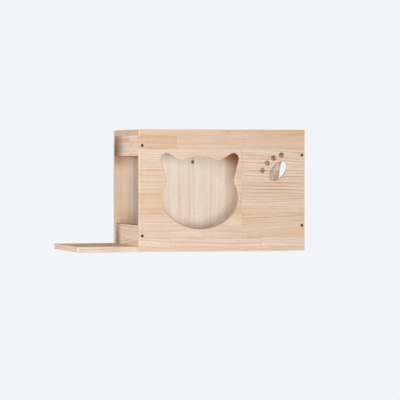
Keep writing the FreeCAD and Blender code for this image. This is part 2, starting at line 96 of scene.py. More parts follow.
# Late wood through one year, from its start to its end: place and darkness
SEASON_START = 0.25
SEASON_STEPS = ((0.12, 0.0), (0.6, 0.18), (0.84, 0.85), (0.93, 1.0))
SEASON_END = 0.3

# How strongly each of these colours the wood
YEAR_CONTRAST = (0.15, 0.9)
STREAK_DEPTH = (0.1, 0.55)
CLOUD_DEPTH = 0.18
PINK_CAST = 0.4
LINE_DEPTH = 0.6
FIBRE_SHADE = 0.11
FLECK_SHADE = 0.09
GLUE_DEPTH = 0.5
# Strength of the painted shade inside the wall holes
HOLE_SHADE_DEPTH = 0.9

# How far a face's normal has to turn along the grain to start and to be end grain, and the part of a
# hole's radius within which its painted shade is full
END_GRAIN = (0.4, 0.9)
HOLE_SHADE_CORE = 0.8

# Size of the grit on the screws, in metres. Real grit is far finer, and is drawn this coarse to show.
GRIT_SIZE = 0.0012

# How much of the floor near the house is plain ground in place of paper, and the parts of its radius
# between which that rises to all of it
FLOOR_GROUND = 0.72
FLOOR_FADE = (0.2, 0.95)


def srgb(code):
    """Turn an sRGB hex colour into a linear one with full alpha."""
    parts = [int(code[i:i + 2], 16) / 255 for i in (0, 2, 4)]
    return tuple(p / 12.92 if p <= 0.04045 else ((p + 0.055) / 1.055) ** 2.4 for p in parts) + (1.0,)


def add_node(tree, kind, inputs=None, **settings):
    """Add a node to a tree, set its properties, and link or set its inputs."""
    node = tree.nodes.new(kind)
    for name, value in settings.items():
        setattr(node, name, value)
    for socket, value in (inputs or {}).items():
        if isinstance(value, bpy.types.NodeSocket):
            tree.links.new(value, node.inputs[socket])
        else:
            node.inputs[socket].default_value = value
    return node


def new_material(name):
    """Start a material with no nodes, and give it and its tree."""
    material = bpy.data.materials.new(name)
    material.use_nodes = True
    material.node_tree.nodes.clear()
    return material, material.node_tree


def colour_property(name, description, code):
    """A colour that a user may change."""
    return FloatVectorProperty(name=name, description=description, subtype="COLOR", size=4,
                               min=0.0, max=1.0, default=srgb(code))


class PineFinish(bpy.types.PropertyGroup):
    """Colours and sizes of the pine. Its rings, fibres and glue lines are drawn coarser than real
    ones, so that they show."""

    pale: colour_property("Pale strip", "Sapwood of the palest strips", "EAD8C6")
    warm: colour_property("Warm strip", "Sapwood of the warmest strips", "DAB188")
    pink: colour_property("Pinkish strip", "Strips with a pinkish cast", "E5CDBA")
    inner: colour_property("Pale back board", "Sapwood of the paler, greyer back board", "F1E9DC")
    inner_warm: colour_property("Warm back board", "Warmer strips of the back board", "D8B387")
    late: colour_property("Late wood", "Darker line at the end of each year ring", "BE8A5C")
    # Brown painted shade, for the rails and the back board
    painted_shade_brown: colour_property("Painted shade", "Brown painted shade on the rails and back board", "663A16")
    glue: colour_property("Glue line", "Hairline between two strips", "C3A17B")
    # Painted shade inside the drilled wall holes
    hole_shade_colour: colour_property("Painted hole shade", "Inside of the drilled wall holes", "1C140D")
    ring: FloatProperty(name="Ring width", description="Middling width of a year ring, in millimetres",
                        default=5.0, min=1.0, max=20.0)
    fibre: FloatProperty(name="Fibre width", description="Width of the fine fibres, in millimetres",
                         default=1.1, min=0.2, max=5.0)
    hairline: FloatProperty(name="Glue line width", description="Width of a glue line, in millimetres",
                            default=0.9, min=0.1, max=2.0)


class FixingFinish(bpy.types.PropertyGroup):
    """Colours of the screws and dowels."""

    coating: colour_property("Screw coating", "Dark phosphate coating of the screws", "5A442C")
    worn: colour_property("Worn coating", "Where the driver has rubbed the coating", "715839")
    beech: colour_property("Beech", "Dowel wood", "D2AE84")
    fleck: colour_property("Beech fleck", "Short dark rays in the beech", "AD8358")


class StageSettings(bpy.types.PropertyGroup):
    """Camera, light and background."""

    backdrop: colour_property("Backdrop", "Plain pale ground behind the house", "F3F4F7")
    room: colour_property("Room", "Colour of the even light, warmed by the room's own walls", "FFE3C4")
    drop: FloatProperty(name="Floor drop", description="Height of the house above the floor",
                        default=0.75, min=0.0, max=3.0, unit="LENGTH")
    spread: FloatProperty(name="Floor reach", description="Radius of the floor",
                          default=2.4, min=0.5, max=10.0, unit="LENGTH")
    key: FloatProperty(name="Key light", description="Power of the soft light in front",
                       default=108.5, unit="POWER")
    left: FloatProperty(name="Left light", description="Power of the soft light at the left",
                        default=133.0, unit="POWER")
    right: FloatProperty(name="Right light", description="Power of the soft light high at the right",
                         default=160.0, unit="POWER")
    top: FloatProperty(name="Top light", description="Power of the soft light above",
                       default=26.0, unit="POWER")
    back: FloatProperty(name="Back light", description="Power of the soft light behind",
                        default=50.0, unit="POWER")
    sky: FloatProperty(name="Room light", description="Strength of the even light all round",
                       default=0.05)
    lens: FloatProperty(name="Lens", description="Focal length of the camera",
                        default=234.8, unit="CAMERA")


# A soft light: its name, place and size in metres, and power in watts
Lamp = namedtuple("Lamp", "name place size power")

# One row of strips in a board: where it starts across the board, where its strips are joined end
# to end, in millimetres, how warm each strip is from 0 to 1, and how bold the grain of its first
# strips is, where that isn't 1
Row = namedtuple("Row", "start joints tones grain", defaults=[()])

# A darker patch, used both for marks in the wood and for painted shade: its middle, its reach along each
# axis in millimetres, how dark it is, and which colour of the finish it takes
Patch = namedtuple("Patch", "middle reach depth colour")

# A round hole through the back board: its middle and radius in millimetres
Hole = namedtuple("Hole", "middle radius")

# How a board is laid out: the axes along and across its grain and through it, the place of its
# corner along them in millimetres, its size across, its rows of strips, and a number of its own.
# Figure is how bold and wavy its grain is, growth how wide its year rings are beside the middling
# width, end_shade how much its end grain darkens, and pale and warm name the two colours of the
# finish that its strips lie between.
Board = namedtuple("Board", "node along across through corner width rows seed figure growth end_shade "
                            "pale warm patches holes")

# A row has up to this many joints, and a joint that it lacks lies past the end of any board
MOST_JOINTS = 2
NO_JOINT = 5000.0


def corner(node, *axes):
    """Lowest corner of a node along the given axes, in millimetres."""
    low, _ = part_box(node)
    return tuple(low["XYZ".index(axis)] * MM for axis in axes)


def span(node, axis):
    """Size of a node along an axis, in millimetres."""
    low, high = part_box(node)
    index = "XYZ".index(axis)
    return (high[index] - low[index]) * MM


def board(node, axes, rows, seed, figure=1.0, growth=1.0, end_shade=0.95, pale="pale", warm="warm",
          patches=(), holes=()):
    """Lay out a board's strips from its own lowest corner."""
    return Board(node, *axes, corner(node, *axes), span(node, axes[1]), rows, seed, figure, growth,
                 end_shade, pale, warm, patches, holes)


FRONT_ROWS = [
    Row(0, (), (0.40,)),
    Row(12, (82, 331), (0.00, 0.20, 0.00)),
    Row(36, (277,), (0.27, 0.44), (0.8,)),
    Row(100, (277,), (0.60, 0.22), (0.55,)),
    Row(152, (277,), (0.33, 0.14), (0.55,)),
    Row(212, (277,), (0.18, 0.00), (0.6,)),
    Row(270, (100,), (0.85, 0.38)),
    Row(306, (222, 384), (0.28, 0.42, 0.75)),
]
BACK_ROWS = [
    Row(0, (), (0.20,)),
    Row(40, (), (0.12,)),
    Row(85, (260,), (0.05, 0.10)),
    Row(130, (), (0.00,)),
    Row(178, (), (0.06,)),
    Row(222, (), (0.00,)),
    Row(268, (), (0.04,)),
    Row(312, (), (0.10,)),
    Row(358, (), (0.15,)),
    Row(404, (), (0.85,)),
]
ROOF_ROWS = [
    Row(0, (120, 380), (0.80, 0.50, 0.70)),
    Row(42, (260,), (0.50, 0.75)),
    Row(88, (90, 330), (0.65, 0.40, 0.85)),
    Row(134, (300,), (0.45, 0.70)),
    Row(180, (150,), (0.90, 0.55)),
    Row(226, (240,), (0.60, 0.35)),
]
FLOOR_ROWS = [
    Row(0, (430,), (0.15, 0.50)),
    Row(46, (210, 470), (0.05, 0.85, 0.70)),
    Row(92, (240,), (0.10, 0.95)),
    Row(138, (190, 500), (0.20, 0.90, 0.75)),
    Row(184, (300,), (0.35, 0.95)),
    Row(230, (180,), (0.30, 0.85)),
    Row(276, (400,), (0.35, 0.90)),
]
WALL_ROWS = [
    Row(0, (), (0.30,)),
    Row(46, (140,), (0.20, 0.35)),
    Row(94, (), (0.15,)),
    Row(142, (90,), (0.10, 0.05)),
    Row(172, (), (0.00,)),
    Row(216, (), (0.70,)),
    Row(258, (170,), (0.45, 0.60)),
]
TOP_RAIL_ROWS = [
    Row(0, (106,), (0.00, 0.05)),
    Row(12, (106,), (0.05, 0.30)),
    Row(24, (106,), (0.00, 0.10)),
    Row(36, (106,), (0.10, 0.60)),
    Row(47, (106,), (0.00, 0.20)),
]
BOTTOM_RAIL_ROWS = [
    Row(0, (), (0.45,)),
    Row(14, (), (0.15,)),
    Row(32, (), (0.00,)),
]

# Late wood that stands out on the front board: four long lines right of the entrance, lines along
# three glue joints at the left and one at the foot, two specks and a short brown mark
FRONT_PATCHES = [
    Patch((150, -300, 20.5), (110, 30, 2.4), 0.65, "late"),
    Patch((138, -300, 11.0), (105, 30, 2.2), 0.8, "late"),
    Patch((142, -300, 2.5), (100, 30, 2.6), 0.85, "late"),
    Patch((135, -300, -6.5), (110, 30, 2.2), 0.75, "late"),
    Patch((-180, -300, 110.5), (60, 30, 2.0), 0.5, "late"),
    Patch((-190, -300, 54.0), (50, 30, 2.4), 0.55, "late"),
    Patch((-190, -300, -59.5), (60, 30, 2.0), 0.35, "late"),
    Patch((80, -300, -124.0), (45, 30, 2.0), 0.4, "late"),
    Patch((-190, -300, 85.0), (6, 30, 2.2), 0.4, "late"),
    Patch((-172, -300, 87.0), (5, 30, 2.0), 0.35, "late"),
    Patch((14, -300, 153.0), (10, 30, 5.0), 0.35, "late"),
]

# Painted shade, drawn as darker wood: on the rails towards the wall, and on the inner face of the back
# board at its upper left corner, beside, above and below the doorway, and behind the entrance's right ear
TOP_RAIL_PAINTED_SHADE = [Patch((-225, -20, 104), (60, 135, 105), 0.92, "painted_shade_brown")]
BOTTOM_RAIL_PAINTED_SHADE = [Patch((-225, -50, -130), (60, 44, 90), 0.75, "painted_shade_brown")]
BACK_PAINTED_SHADE = [
    # Painted shade at the upper left corner, under the roof and the top rail
    Patch((-216, -15, 95), (52, 14, 52), 0.8, "painted_shade_brown"),
    # Painted shade beside the doorway, a warm tint standing in for the shade at its right, then painted
    # shade above and below it
    Patch((-226, -15, 0), (62, 14, 190), 0.45, "late"),
    Patch((-148, -15, 0), (48, 14, 170), 0.12, "warm"),
    Patch((-180, -15, 112), (95, 14, 62), 0.6, "late"),
    Patch((-180, -15, -92), (95, 14, 62), 0.45, "late"),
    # Painted shade behind the entrance's right ear
    Patch((94, -15, 101), (44, 14, 48), 1.0, "late"),
    Patch((118, -15, 100), (40, 14, 50), 1.0, "late"),
    Patch((106, -15, 112), (50, 14, 50), 0.5, "painted_shade_brown"),
]


def wood_group(finish):
    """Pine as sawn and sanded: year rings round a pith that differs from strip to strip, a thin
    darker line of late wood on each, and fine fibres along the grain."""
    tree = bpy.data.node_groups.new("pine_strip", "ShaderNodeTree")
    for name in ("Along", "Across", "Through", "Strip", "Warmth", "Figure", "Ring"):
        tree.interface.new_socket(name, in_out="INPUT", socket_type="NodeSocketFloat")
    for name in ("Pale", "Warm"):
        tree.interface.new_socket(name, in_out="INPUT", socket_type="NodeSocketColor")
    tree.interface.new_socket("Colour", in_out="OUTPUT", socket_type="NodeSocketColor")
    tree.interface.new_socket("Height", in_out="OUTPUT", socket_type="NodeSocketFloat")
    start = add_node(tree, "NodeGroupInput")
    along, across, through, strip, warmth, figure, ring, pale, warm = list(start.outputs)[:9]

    # Each strip draws the place of its pith, the width of its rings and its cast of colour
    draw = add_node(tree, "ShaderNodeTexWhiteNoise", {"W": strip}, noise_dimensions="1D")
    draws = add_node(tree, "ShaderNodeSeparateColor", {0: draw.outputs["Color"]})
    pith_side = add_node(tree, "ShaderNodeMapRange",
                         {0: draws.outputs[0], 3: PITH_SIDE[0], 4: PITH_SIDE[1]})
    pith_deep = add_node(tree, "ShaderNodeMapRange",
                         {0: draws.outputs[1], 3: PITH_DEEP[0], 4: PITH_DEEP[1]})
    growth = add_node(tree, "ShaderNodeMapRange",
                      {0: draws.outputs[2], 3: RING_SPREAD[0], 4: RING_SPREAD[1]})
    ring_width = add_node(tree, "ShaderNodeMath", {0: growth.outputs[0], 1: ring}, operation="MULTIPLY")

    # The tree was never straight, so the pith wanders along the strip and leans
    far = add_node(tree, "ShaderNodeMath", {0: along, 1: 1 / WANDER_LENGTH}, operation="MULTIPLY")
    apart = add_node(tree, "ShaderNodeMath", {0: strip, 1: STRIP_APART}, operation="MULTIPLY")
    bend_at = add_node(tree, "ShaderNodeCombineXYZ", {0: far.outputs[0], 1: apart.outputs[0]})
    bend = add_node(tree, "ShaderNodeTexNoise",
                    {"Vector": bend_at.outputs[0], "Scale": 1.0, "Detail": 1.0})
    wander = add_node(tree, "ShaderNodeMapRange", {0: bend.outputs[0], 3: -WANDER, 4: WANDER})
    wander = add_node(tree, "ShaderNodeMath", {0: wander.outputs[0], 1: figure}, operation="MULTIPLY")
    slope = add_node(tree, "ShaderNodeMapRange", {0: draws.outputs[2], 3: -LEAN, 4: LEAN})
    slope = add_node(tree, "ShaderNodeMath", {0: slope.outputs[0], 1: figure}, operation="MULTIPLY")
    lean = add_node(tree, "ShaderNodeMath", {0: along, 1: slope.outputs[0], 2: across},
                    operation="MULTIPLY_ADD")
    side = add_node(tree, "ShaderNodeMath", {0: lean.outputs[0], 1: pith_side.outputs[0]},
                    operation="SUBTRACT")
    side = add_node(tree, "ShaderNodeMath", {0: side.outputs[0], 1: wander.outputs[0]}, operation="ADD")
    deep = add_node(tree, "ShaderNodeMath", {0: through, 1: pith_deep.outputs[0]}, operation="ADD")
    reach = add_node(tree, "ShaderNodeCombineXYZ", {0: side.outputs[0], 1: deep.outputs[0]})
    radius = add_node(tree, "ShaderNodeVectorMath", {0: reach.outputs[0]}, operation="LENGTH")

    # Rings wave a little, more across the strip than along it
    wave_at = add_node(tree, "ShaderNodeCombineXYZ", {0: along, 1: across, 2: apart.outputs[0]})
    wave_at = add_node(tree, "ShaderNodeVectorMath",
                       {0: wave_at.outputs[0], 1: (1 / WAVE_SIZE[0], 1 / WAVE_SIZE[1], 1.0)},
                       operation="MULTIPLY")
    wave = add_node(tree, "ShaderNodeTexNoise",
                    {"Vector": wave_at.outputs[0], "Scale": 1.0, "Detail": 2.0})
    waver = add_node(tree, "ShaderNodeMapRange", {0: wave.outputs[0], 3: -WAVE_HEIGHT, 4: WAVE_HEIGHT})
    radius = add_node(tree, "ShaderNodeMath", {0: radius.outputs["Value"], 1: waver.outputs[0]},
                      operation="ADD")
    years = add_node(tree, "ShaderNodeMath", {0: radius.outputs[0], 1: ring_width.outputs[0]},
                     operation="DIVIDE")
    season = add_node(tree, "ShaderNodeMath", {0: years.outputs[0]}, operation="FRACT")
    year = add_node(tree, "ShaderNodeMath", {0: years.outputs[0]}, operation="FLOOR")

    # Early wood darkens slowly into late wood, and the next year starts pale at once
    late = add_node(tree, "ShaderNodeValToRGB", {0: season.outputs[0]})
    stops = late.color_ramp.elements
    stops[0].position, stops[0].color = 0.0, (SEASON_START,) * 3 + (1,)
    stops[1].position, stops[1].color = 1.0, (SEASON_END,) * 3 + (1,)
    for place, shade in SEASON_STEPS:
        stop = stops.new(place)
        stop.color = (shade, shade, shade, 1)

    # Good and poor years
    year_at = add_node(tree, "ShaderNodeMath", {0: year.outputs[0], 1: apart.outputs[0]}, operation="ADD")
    luck = add_node(tree, "ShaderNodeTexWhiteNoise", {"W": year_at.outputs[0]}, noise_dimensions="1D")
    contrast = add_node(tree, "ShaderNodeMapRange",
                        {0: luck.outputs["Value"], 3: YEAR_CONTRAST[0], 4: YEAR_CONTRAST[1]})
    line = add_node(tree, "ShaderNodeMath", {0: late.outputs[0], 1: contrast.outputs[0]},
                    operation="MULTIPLY")
    line = add_node(tree, "ShaderNodeMath", {0: line.outputs[0], 1: figure}, operation="MULTIPLY")

    # Fine fibres, drawn out along the grain
    grain_at = add_node(tree, "ShaderNodeCombineXYZ", {0: along, 1: across, 2: through})
    fine = 1 / finish.fibre
    fibre_at = add_node(tree, "ShaderNodeVectorMath",
                        {0: grain_at.outputs[0], 1: (fine / FIBRE_DRAWN, fine, fine)},
                        operation="MULTIPLY")
    fibre = add_node(tree, "ShaderNodeTexNoise",
                     {"Vector": fibre_at.outputs[0], "Scale": 1.0, "Detail": 3.0})
    fibres = add_node(tree, "ShaderNodeMapRange",
                      {0: fibre.outputs[0], 1: NOISE_SPAN[0], 2: NOISE_SPAN[1], 3: -0.5, 4: 0.5})

    # Short flecks, where resin canals are cut open
    fleck_at = add_node(tree, "ShaderNodeVectorMath",
                        {0: grain_at.outputs[0],
                         1: (1 / FLECK_SIZE[0], 1 / FLECK_SIZE[1], 1 / FLECK_SIZE[1])},
                        operation="MULTIPLY")
    fleck = add_node(tree, "ShaderNodeTexNoise",
                     {"Vector": fleck_at.outputs[0], "Scale": 1.0, "Detail": 2.0})
    flecks = add_node(tree, "ShaderNodeMapRange",
                      {0: fleck.outputs[0], 1: NOISE_SPAN[0], 2: NOISE_SPAN[1], 3: -0.5, 4: 0.5})

    # Soft streaks, a few millimetres wide and long drawn
    streak_at = add_node(tree, "ShaderNodeCombineXYZ",
                         {0: along, 1: side.outputs[0], 2: apart.outputs[0]})
    streak_at = add_node(tree, "ShaderNodeVectorMath",
                         {0: streak_at.outputs[0], 1: (1 / STREAK_SIZE[0], 1 / STREAK_SIZE[1], 1.0)},
                         operation="MULTIPLY")
    streak = add_node(tree, "ShaderNodeTexNoise",
                      {"Vector": streak_at.outputs[0], "Scale": 1.0, "Detail": 3.0, "Roughness": 0.6})
    streaks = add_node(tree, "ShaderNodeMapRange",
                       {0: streak.outputs[0], 1: STREAK_SPAN[0], 2: STREAK_SPAN[1]})
    bold = add_node(tree, "ShaderNodeMapRange",
                    {0: draws.outputs[2], 3: STREAK_DEPTH[0], 4: STREAK_DEPTH[1]})
    bold = add_node(tree, "ShaderNodeMath", {0: bold.outputs[0], 1: figure}, operation="MULTIPLY")
    streaks = add_node(tree, "ShaderNodeMath", {0: streaks.outputs[0], 1: bold.outputs[0]},
                       operation="MULTIPLY")

    # Broad clouds of colour within a strip
    cloud_at = add_node(tree, "ShaderNodeVectorMath", {0: wave_at.outputs[0], 1: CLOUD_SCALE},
                        operation="MULTIPLY")
    cloud = add_node(tree, "ShaderNodeTexNoise",
                     {"Vector": cloud_at.outputs[0], "Scale": 1.0, "Detail": 2.0})
    clouds = add_node(tree, "ShaderNodeMapRange",
                      {0: cloud.outputs[0], 1: NOISE_SPAN[0], 2: NOISE_SPAN[1], 3: -CLOUD_DEPTH,
                       4: CLOUD_DEPTH})

    # Sapwood of the strip's own warmth and cast, then late wood and streaks, then fibres and flecks
    tone = add_node(tree, "ShaderNodeMath", {0: warmth, 1: clouds.outputs[0]}, operation="ADD")
    sap = add_node(tree, "ShaderNodeMix", {"Factor": tone.outputs[0], 6: pale, 7: warm}, data_type="RGBA")
    cast = add_node(tree, "ShaderNodeMath", {0: draws.outputs[1], 1: figure}, operation="MULTIPLY")
    cast = add_node(tree, "ShaderNodeMath", {0: cast.outputs[0], 1: PINK_CAST}, operation="MULTIPLY")
    sap = add_node(tree, "ShaderNodeMix",
                   {"Factor": cast.outputs[0], 6: sap.outputs[2], 7: finish.pink}, data_type="RGBA")
    amount = add_node(tree, "ShaderNodeMath", {0: line.outputs[0], 1: LINE_DEPTH, 2: streaks.outputs[0]},
                      operation="MULTIPLY_ADD")
    wood = add_node(tree, "ShaderNodeMix",
                    {"Factor": amount.outputs[0], 6: sap.outputs[2], 7: finish.late}, data_type="RGBA")
    shade = add_node(tree, "ShaderNodeMath", {0: fibres.outputs[0], 1: FIBRE_SHADE, 2: 1.0},
                     operation="MULTIPLY_ADD")
    shade = add_node(tree, "ShaderNodeMath", {0: flecks.outputs[0], 1: FLECK_SHADE, 2: shade.outputs[0]},
                     operation="MULTIPLY_ADD")
    wood = add_node(tree, "ShaderNodeVectorMath", {0: wood.outputs[2], "Scale": shade.outputs[0]},
                    operation="SCALE")
    relief = add_node(tree, "ShaderNodeMath", {0: line.outputs[0], 1: 0.5, 2: fibres.outputs[0]},
                      operation="MULTIPLY_ADD")
    add_node(tree, "NodeGroupOutput", {"Colour": wood.outputs[0], "Height": relief.outputs[0]})
    return tree


def pick(numbers, index, other):
    """One of a row's numbers, or the other one where the row doesn't have as many."""
    return numbers[index] if index < len(numbers) else other


def row_ramp(tree, spot, spec, numbers):
    """Give one number for each row of strips, by the place across the board."""
    ramp = add_node(tree, "ShaderNodeValToRGB", {0: spot})
    ramp.color_ramp.interpolation = "CONSTANT"
    stops = ramp.color_ramp.elements
    stops.remove(stops[1])
    for index, (row, number) in enumerate(zip(spec.rows, numbers)):
        stop = stops[0] if index == 0 else stops.new(row.start / spec.width)
        stop.position = row.start / spec.width
        stop.color = (number,) * 3 + (1,)
    return ramp.outputs[0]


def pine_board(spec, group, finish):
    """Finger-jointed pine board, sanded, with a thin matt finish: strips of differing warmth, hairline
    glue lines, and end grain that drinks the finish and turns darker."""
    material, tree = new_material("pine_" + spec.node)
    place = add_node(tree, "ShaderNodeTexCoord")
    place = add_node(tree, "ShaderNodeVectorMath", {0: place.outputs["Object"], "Scale": MM},
                     operation="SCALE").outputs[0]
    parts = add_node(tree, "ShaderNodeSeparateXYZ", {0: place})
    spots = []
    for axis, low in zip((spec.along, spec.across, spec.through), spec.corner):
        spot = add_node(tree, "ShaderNodeMath", {0: parts.outputs["XYZ".index(axis)], 1: low},
                        operation="SUBTRACT")
        spots.append(spot.outputs[0])
    along, across, through = spots

    # Which strip this is: the row across the board, then the joint along it
    rows = spec.rows
    share = add_node(tree, "ShaderNodeMath", {0: across, 1: spec.width}, operation="DIVIDE").outputs[0]
    first_strips = [number * (MOST_JOINTS + 1.0) + spec.seed for number in range(len(rows))]
    strip = row_ramp(tree, share, spec, first_strips)
    warmth = row_ramp(tree, share, spec, [row.tones[0] for row in rows])
    bold = row_ramp(tree, share, spec, [pick(row.grain, 0, 1.0) for row in rows])
    gaps = []
    for number in range(MOST_JOINTS):
        joint = row_ramp(tree, share, spec, [pick(row.joints, number, NO_JOINT) for row in rows])
        gap = add_node(tree, "ShaderNodeMath", {0: along, 1: joint}, operation="SUBTRACT").outputs[0]
        past = add_node(tree, "ShaderNodeMath", {0: gap, 1: 0.0}, operation="GREATER_THAN").outputs[0]
        tones = [pick(row.tones, number + 1, row.tones[-1]) for row in rows]
        following = row_ramp(tree, share, spec, tones)
        warmth = add_node(tree, "ShaderNodeMix", {"Factor": past, 2: warmth, 3: following}).outputs[0]
        following = row_ramp(tree, share, spec, [pick(row.grain, number + 1, 1.0) for row in rows])
        bold = add_node(tree, "ShaderNodeMix", {"Factor": past, 2: bold, 3: following}).outputs[0]
        strip = add_node(tree, "ShaderNodeMath", {0: strip, 1: past}, operation="ADD").outputs[0]
        gaps.append(gap)

    bold = add_node(tree, "ShaderNodeMath", {0: bold, 1: spec.figure}, operation="MULTIPLY").outputs[0]
    wood = add_node(tree, "ShaderNodeGroup", node_tree=group)
    given = {"Along": along, "Across": across, "Through": through, "Strip": strip, "Warmth": warmth,
             "Figure": bold}
    for name, socket in given.items():
        tree.links.new(socket, wood.inputs[name])
    wood.inputs["Ring"].default_value = finish.ring * spec.growth
    wood.inputs["Pale"].default_value = getattr(finish, spec.pale)
    wood.inputs["Warm"].default_value = getattr(finish, spec.warm)

    # Hairline of glue at each joint
    for row in rows[1:]:
        gap = add_node(tree, "ShaderNodeMath", {0: across, 1: row.start}, operation="SUBTRACT")
        gaps.append(gap.outputs[0])
    glue = 0.0
    for gap in gaps:
        near = add_node(tree, "ShaderNodeMath", {0: gap}, operation="ABSOLUTE").outputs[0]
        near = add_node(tree, "ShaderNodeMapRange",
                        {0: near, 1: 0.0, 2: finish.hairline, 3: 1.0, 4: 0.0}).outputs[0]
        glue = add_node(tree, "ShaderNodeMath", {0: glue, 1: near}, operation="MAXIMUM").outputs[0]
    trace = add_node(tree, "ShaderNodeMath", {0: glue, 1: GLUE_DEPTH}, operation="MULTIPLY")
    colour = add_node(tree, "ShaderNodeMix",
                      {"Factor": trace.outputs[0], 6: wood.outputs["Colour"], 7: finish.glue},
                      data_type="RGBA").outputs[2]

    # End grain, where the face looks along the grain
    normal = add_node(tree, "ShaderNodeNewGeometry")
    facing = add_node(tree, "ShaderNodeSeparateXYZ", {0: normal.outputs["Normal"]})
    ahead = add_node(tree, "ShaderNodeMath", {0: facing.outputs["XYZ".index(spec.along)]},
                     operation="ABSOLUTE").outputs[0]
    cut = add_node(tree, "ShaderNodeMapRange",
                   {0: ahead, 1: END_GRAIN[0], 2: END_GRAIN[1], 3: 0.0, 4: 1.0}).outputs[0]
    dim = add_node(tree, "ShaderNodeMapRange", {0: cut, 3: 1.0, 4: spec.end_shade}).outputs[0]
    colour = add_node(tree, "ShaderNodeVectorMath", {0: colour, "Scale": dim}, operation="SCALE").outputs[0]

    # Darker patches: marks in the wood, and painted shade
    for patch in spec.patches:
        off = add_node(tree, "ShaderNodeVectorMath", {0: place, 1: patch.middle}, operation="SUBTRACT")
        off = add_node(tree, "ShaderNodeVectorMath", {0: off.outputs[0], 1: patch.reach}, operation="DIVIDE")
        away = add_node(tree, "ShaderNodeVectorMath", {0: off.outputs[0]}, operation="LENGTH")
        mark_and_shade = add_node(tree, "ShaderNodeMapRange",
                         {0: away.outputs["Value"], 1: 1.0, 2: 0.0, 3: 0.0, 4: patch.depth},
                         interpolation_type="SMOOTHSTEP")
        colour = add_node(tree, "ShaderNodeMix",
                          {"Factor": mark_and_shade.outputs[0], 6: colour, 7: getattr(finish, patch.colour)},
                          data_type="RGBA").outputs[2]

    # Painted shade inside the drilled wall holes, drawn as dark wood
    for hole in spec.holes:
        off = add_node(tree, "ShaderNodeVectorMath", {0: place, 1: hole.middle}, operation="SUBTRACT")
        off = add_node(tree, "ShaderNodeVectorMath", {0: off.outputs[0], 1: (1.0, 0.0, 1.0)},
                       operation="MULTIPLY")
        away = add_node(tree, "ShaderNodeVectorMath", {0: off.outputs[0]}, operation="LENGTH")
        hole_shade_mask = add_node(tree, "ShaderNodeMapRange",
                          {0: away.outputs["Value"], 1: hole.radius, 2: hole.radius * HOLE_SHADE_CORE,
                           3: 0.0, 4: HOLE_SHADE_DEPTH})
        colour = add_node(tree, "ShaderNodeMix",
                          {"Factor": hole_shade_mask.outputs[0], 6: colour, 7: finish.hole_shade_colour},
                          data_type="RGBA").outputs[2]

    height = wood.outputs["Height"]
    rough = add_node(tree, "ShaderNodeMapRange", {0: height, 1: -0.5, 2: 1.0, 3: 0.62, 4: 0.5})
    bump = add_node(tree, "ShaderNodeBump", {"Strength": 0.12, "Distance": 0.0004, "Height": height})
    shader = add_node(tree, "ShaderNodeBsdfPrincipled",
                      {"Base Color": colour, "Roughness": rough.outputs[0], "IOR": 1.45,
                       "Specular IOR Level": 0.15, "Normal": bump.outputs[0]})
    add_node(tree, "ShaderNodeOutputMaterial", {"Surface": shader.outputs[0]})
    return material


def wall_holes():
    """The countersunk holes in the back board, from the record's mounts, in millimetres."""
    mounts = {item["name"]: item for item in frame["record"]["mounts"]}
    pattern = mounts["wall_screw_holes"]
    middle = Vector(pattern["pos_m"]) * MM
    reach_x = pattern["dims"]["spacing_x_mm"] / 2
    reach_z = pattern["dims"]["spacing_y_mm"] / 2
    sink = pattern["dims"]["hole_r_mm"] * 2
    places = [middle + Vector((x, 0, z)) for x in (-reach_x, reach_x) for z in (-reach_z, reach_z)]
    places.append(Vector(mounts["wall_hole_middle"]["pos_m"]) * MM)
    return [Hole(place, sink) for place in places]


def dress(node, material):
    """Give a node one finish all over."""
    slots = frame["nodes"][node].data.materials
    slots.clear()
    slots.append(material)


def screw_finish(finish):
    """Phosphate-coated steel: dark brown and matt, rubbed a little lighter in spots."""
    material, tree = new_material("phosphate_coated_steel")
    place = add_node(tree, "ShaderNodeTexCoord")
    grit = add_node(tree, "ShaderNodeTexNoise",
                    {"Vector": place.outputs["Object"], "Scale": 1 / GRIT_SIZE, "Detail": 3.0})
    rub = add_node(tree, "ShaderNodeMapRange", {0: grit.outputs[0], 1: 0.5, 2: 0.75})
    colour = add_node(tree, "ShaderNodeMix",
                      {"Factor": rub.outputs[0], 6: finish.coating, 7: finish.worn}, data_type="RGBA")
    rough = add_node(tree, "ShaderNodeMapRange", {0: rub.outputs[0], 3: 0.85, 4: 0.7})
    bump = add_node(tree, "ShaderNodeBump",
                    {"Strength": 0.2, "Distance": 0.0001, "Height": grit.outputs[0]})
    shader = add_node(tree, "ShaderNodeBsdfPrincipled",
                      {"Base Color": colour.outputs[2], "Roughness": rough.outputs[0],
                       "Specular IOR Level": 0.25, "Normal": bump.outputs[0]})
    add_node(tree, "ShaderNodeOutputMaterial", {"Surface": shader.outputs[0]})
    return material


def dowel_finish(finish):
    """Turned beech: even, with short dark flecks of about 0.4 by 3 mm along the dowel."""
    material, tree = new_material("turned_beech")
    place = add_node(tree, "ShaderNodeTexCoord")
    stretch = add_node(tree, "ShaderNodeMapping",
                       {"Vector": place.outputs["Object"], "Scale": (2500.0, 300.0, 2500.0)})
    grain = add_node(tree, "ShaderNodeTexNoise",
                     {"Vector": stretch.outputs[0], "Scale": 1.0, "Detail": 3.0})
    fleck = add_node(tree, "ShaderNodeMapRange", {0: grain.outputs[0], 1: 0.5, 2: 0.7})
    colour = add_node(tree, "ShaderNodeMix",
                      {"Factor": fleck.outputs[0], 6: finish.beech, 7: finish.fleck}, data_type="RGBA")
    bump = add_node(tree, "ShaderNodeBump",
                    {"Strength": 0.1, "Distance": 0.0002, "Height": grain.outputs[0]})
    shader = add_node(tree, "ShaderNodeBsdfPrincipled",
                      {"Base Color": colour.outputs[2], "Roughness": 0.6, "IOR": 1.45,
                       "Normal": bump.outputs[0]})
    add_node(tree, "ShaderNodeOutputMaterial", {"Surface": shader.outputs[0]})
    return material


